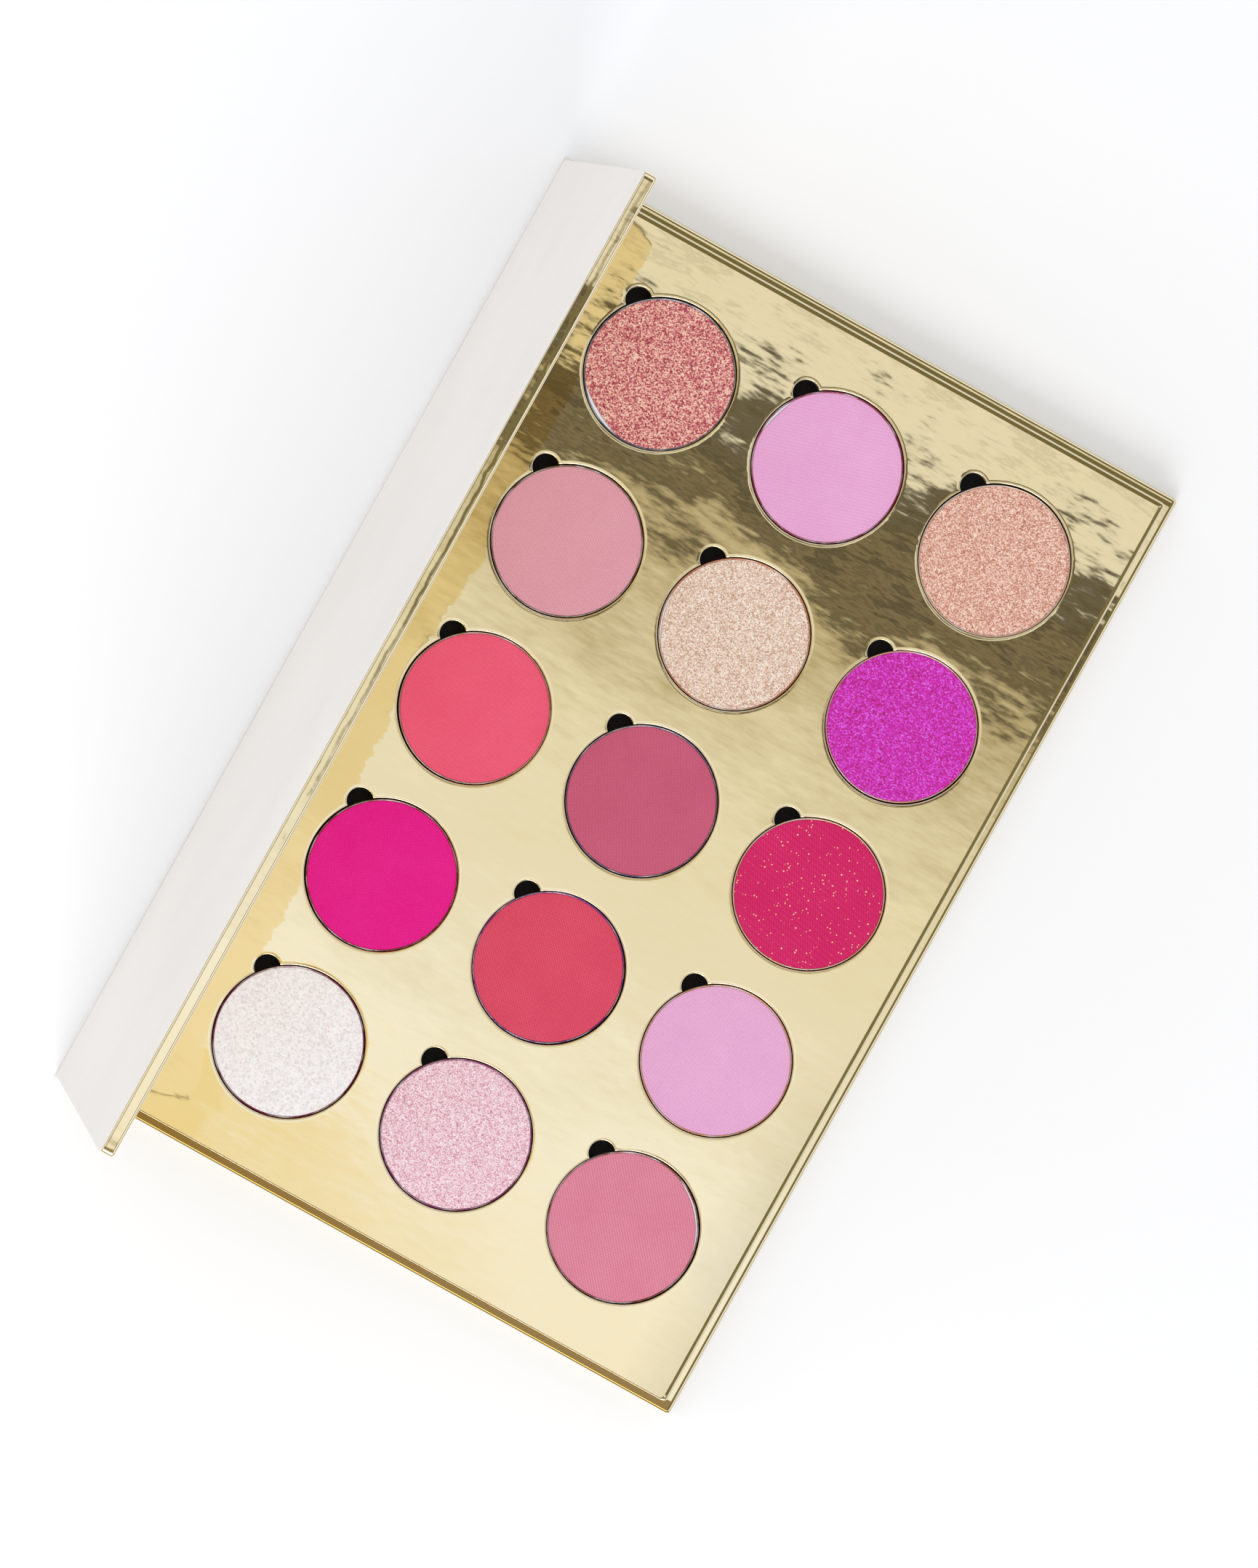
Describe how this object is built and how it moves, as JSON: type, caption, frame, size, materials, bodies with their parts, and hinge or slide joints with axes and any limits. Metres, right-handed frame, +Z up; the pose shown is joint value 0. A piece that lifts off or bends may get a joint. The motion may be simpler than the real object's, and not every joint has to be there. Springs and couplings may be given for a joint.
{
  "type": "eyeshadow palette",
  "caption": "Book-style cardboard eyeshadow palette: white hinged lid over a gold-foil tray whose round wells, each with a finger notch, hold lift-out tin pans of pressed powder.",
  "frame": {"origin": "on the table under the middle of the base, at the underside of the base paper", "axes": "+X across the palette from the spine to the free edge, +Y along the spine towards row 1, +Z up out of the pans"},
  "size_m": [0.1222, 0.182, 0.1312],
  "materials": {
    "greyboard": "matte",
    "white_paper": "satin",
    "gold_foil": "polished",
    "magnet_sheet": "matte",
    "magnet": "polished",
    "pan_tin": "satin",
    "powder_rose_foil": "satin",
    "powder_orchid_matte": "matte",
    "powder_salmon_shimmer": "satin",
    "powder_dusty_rose_matte": "matte",
    "powder_champagne_shimmer": "satin",
    "powder_violet_metallic": "satin",
    "powder_coral_matte": "matte",
    "powder_mauve_rose_matte": "matte",
    "powder_raspberry_glitter": "satin",
    "powder_hot_pink_matte": "matte",
    "powder_watermelon_matte": "matte",
    "powder_pink_orchid_matte": "matte",
    "powder_pearl_shimmer": "satin",
    "powder_pale_pink_shimmer": "satin",
    "powder_rose_satin": "matte"
  },
  "bodies": {
    "case": {"base_board": "greyboard", "base_outer_paper": "white_paper", "base_edge_foil": "gold_foil", "spine_board": "greyboard", "spine_outer_paper": "white_paper", "spine_inner_foil": "gold_foil", "hinge_fold": "white_paper", "magnet_sheet": "magnet_sheet", "tray_spacer": "greyboard", "tray_foil_card": "gold_foil", "tray_magnet_1": "magnet", "tray_magnet_2": "magnet"},
    "lid": {"lid_board": "greyboard", "lid_outer_paper": "white_paper", "lid_inner_foil": "gold_foil", "lid_magnet_1": "magnet", "lid_magnet_2": "magnet"},
    "refill_row1_col1": {"pan_row1_col1": "pan_tin", "powder_row1_col1": "powder_rose_foil"},
    "refill_row1_col2": {"pan_row1_col2": "pan_tin", "powder_row1_col2": "powder_orchid_matte"},
    "refill_row1_col3": {"pan_row1_col3": "pan_tin", "powder_row1_col3": "powder_salmon_shimmer"},
    "refill_row2_col1": {"pan_row2_col1": "pan_tin", "powder_row2_col1": "powder_dusty_rose_matte"},
    "refill_row2_col2": {"pan_row2_col2": "pan_tin", "powder_row2_col2": "powder_champagne_shimmer"},
    "refill_row2_col3": {"pan_row2_col3": "pan_tin", "powder_row2_col3": "powder_violet_metallic"},
    "refill_row3_col1": {"pan_row3_col1": "pan_tin", "powder_row3_col1": "powder_coral_matte"},
    "refill_row3_col2": {"pan_row3_col2": "pan_tin", "powder_row3_col2": "powder_mauve_rose_matte"},
    "refill_row3_col3": {"pan_row3_col3": "pan_tin", "powder_row3_col3": "powder_raspberry_glitter"},
    "refill_row4_col1": {"pan_row4_col1": "pan_tin", "powder_row4_col1": "powder_hot_pink_matte"},
    "refill_row4_col2": {"pan_row4_col2": "pan_tin", "powder_row4_col2": "powder_watermelon_matte"},
    "refill_row4_col3": {"pan_row4_col3": "pan_tin", "powder_row4_col3": "powder_pink_orchid_matte"},
    "refill_row5_col1": {"pan_row5_col1": "pan_tin", "powder_row5_col1": "powder_pearl_shimmer"},
    "refill_row5_col2": {"pan_row5_col2": "pan_tin", "powder_row5_col2": "powder_pale_pink_shimmer"},
    "refill_row5_col3": {"pan_row5_col3": "pan_tin", "powder_row5_col3": "powder_rose_satin"}
  },
  "joints": [
    {"name": "lid_hinge", "type": "hinge", "parent": "case", "child": "lid", "pos_m": [-0.06055, 0, 0.0104], "axis": [0, -1, 0], "range_deg": [-83.3, 96.7]},
    {"name": "refill_row1_col1_lift", "type": "slide", "parent": "case", "child": "refill_row1_col1", "axis": [0, 0, 1], "range_m": [0, 0.012]},
    {"name": "refill_row1_col2_lift", "type": "slide", "parent": "case", "child": "refill_row1_col2", "axis": [0, 0, 1], "range_m": [0, 0.012]},
    {"name": "refill_row1_col3_lift", "type": "slide", "parent": "case", "child": "refill_row1_col3", "axis": [0, 0, 1], "range_m": [0, 0.012]},
    {"name": "refill_row2_col1_lift", "type": "slide", "parent": "case", "child": "refill_row2_col1", "axis": [0, 0, 1], "range_m": [0, 0.012]},
    {"name": "refill_row2_col2_lift", "type": "slide", "parent": "case", "child": "refill_row2_col2", "axis": [0, 0, 1], "range_m": [0, 0.012]},
    {"name": "refill_row2_col3_lift", "type": "slide", "parent": "case", "child": "refill_row2_col3", "axis": [0, 0, 1], "range_m": [0, 0.012]},
    {"name": "refill_row3_col1_lift", "type": "slide", "parent": "case", "child": "refill_row3_col1", "axis": [0, 0, 1], "range_m": [0, 0.012]},
    {"name": "refill_row3_col2_lift", "type": "slide", "parent": "case", "child": "refill_row3_col2", "axis": [0, 0, 1], "range_m": [0, 0.012]},
    {"name": "refill_row3_col3_lift", "type": "slide", "parent": "case", "child": "refill_row3_col3", "axis": [0, 0, 1], "range_m": [0, 0.012]},
    {"name": "refill_row4_col1_lift", "type": "slide", "parent": "case", "child": "refill_row4_col1", "axis": [0, 0, 1], "range_m": [0, 0.012]},
    {"name": "refill_row4_col2_lift", "type": "slide", "parent": "case", "child": "refill_row4_col2", "axis": [0, 0, 1], "range_m": [0, 0.012]},
    {"name": "refill_row4_col3_lift", "type": "slide", "parent": "case", "child": "refill_row4_col3", "axis": [0, 0, 1], "range_m": [0, 0.012]},
    {"name": "refill_row5_col1_lift", "type": "slide", "parent": "case", "child": "refill_row5_col1", "axis": [0, 0, 1], "range_m": [0, 0.012]},
    {"name": "refill_row5_col2_lift", "type": "slide", "parent": "case", "child": "refill_row5_col2", "axis": [0, 0, 1], "range_m": [0, 0.012]},
    {"name": "refill_row5_col3_lift", "type": "slide", "parent": "case", "child": "refill_row5_col3", "axis": [0, 0, 1], "range_m": [0, 0.012]}
  ]
}
